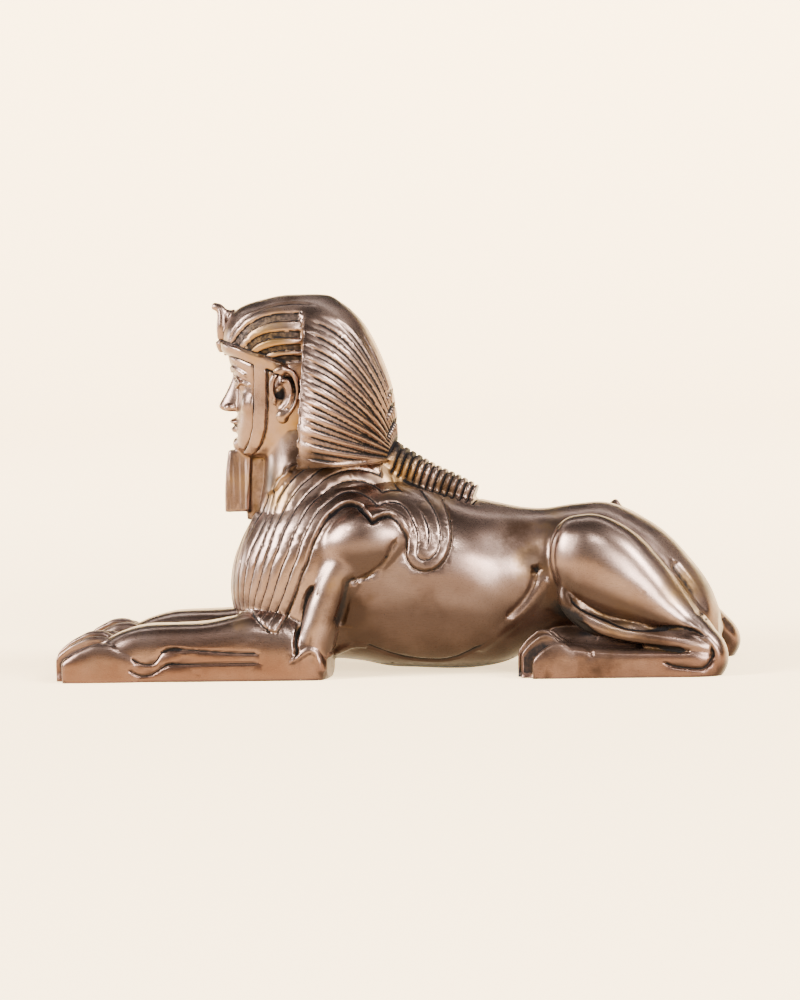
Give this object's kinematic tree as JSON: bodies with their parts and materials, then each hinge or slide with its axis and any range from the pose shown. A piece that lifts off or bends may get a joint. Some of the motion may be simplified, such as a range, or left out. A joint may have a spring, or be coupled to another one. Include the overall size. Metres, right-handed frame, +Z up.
{
  "type": "sphinx statue",
  "caption": "Recumbent sphinx cast in bronze: a lion's body with a headclothed human head, straight beard and a queue down the back, on flat soles.",
  "frame": {"origin": "on the ground plane under the middle of the figure's box", "axes": "+X along the figure towards its haunches, so that it looks towards -X; +Y to the figure's right side; +Z up"},
  "size_m": [0.1802, 0.057, 0.1004],
  "materials": {
    "bronze": "satin brown bronze, brushed bright on the raised forms, with dark patina left in the cuts"
  },
  "bodies": {
    "root": {"sphinx": "bronze"}
  },
  "joints": []
}
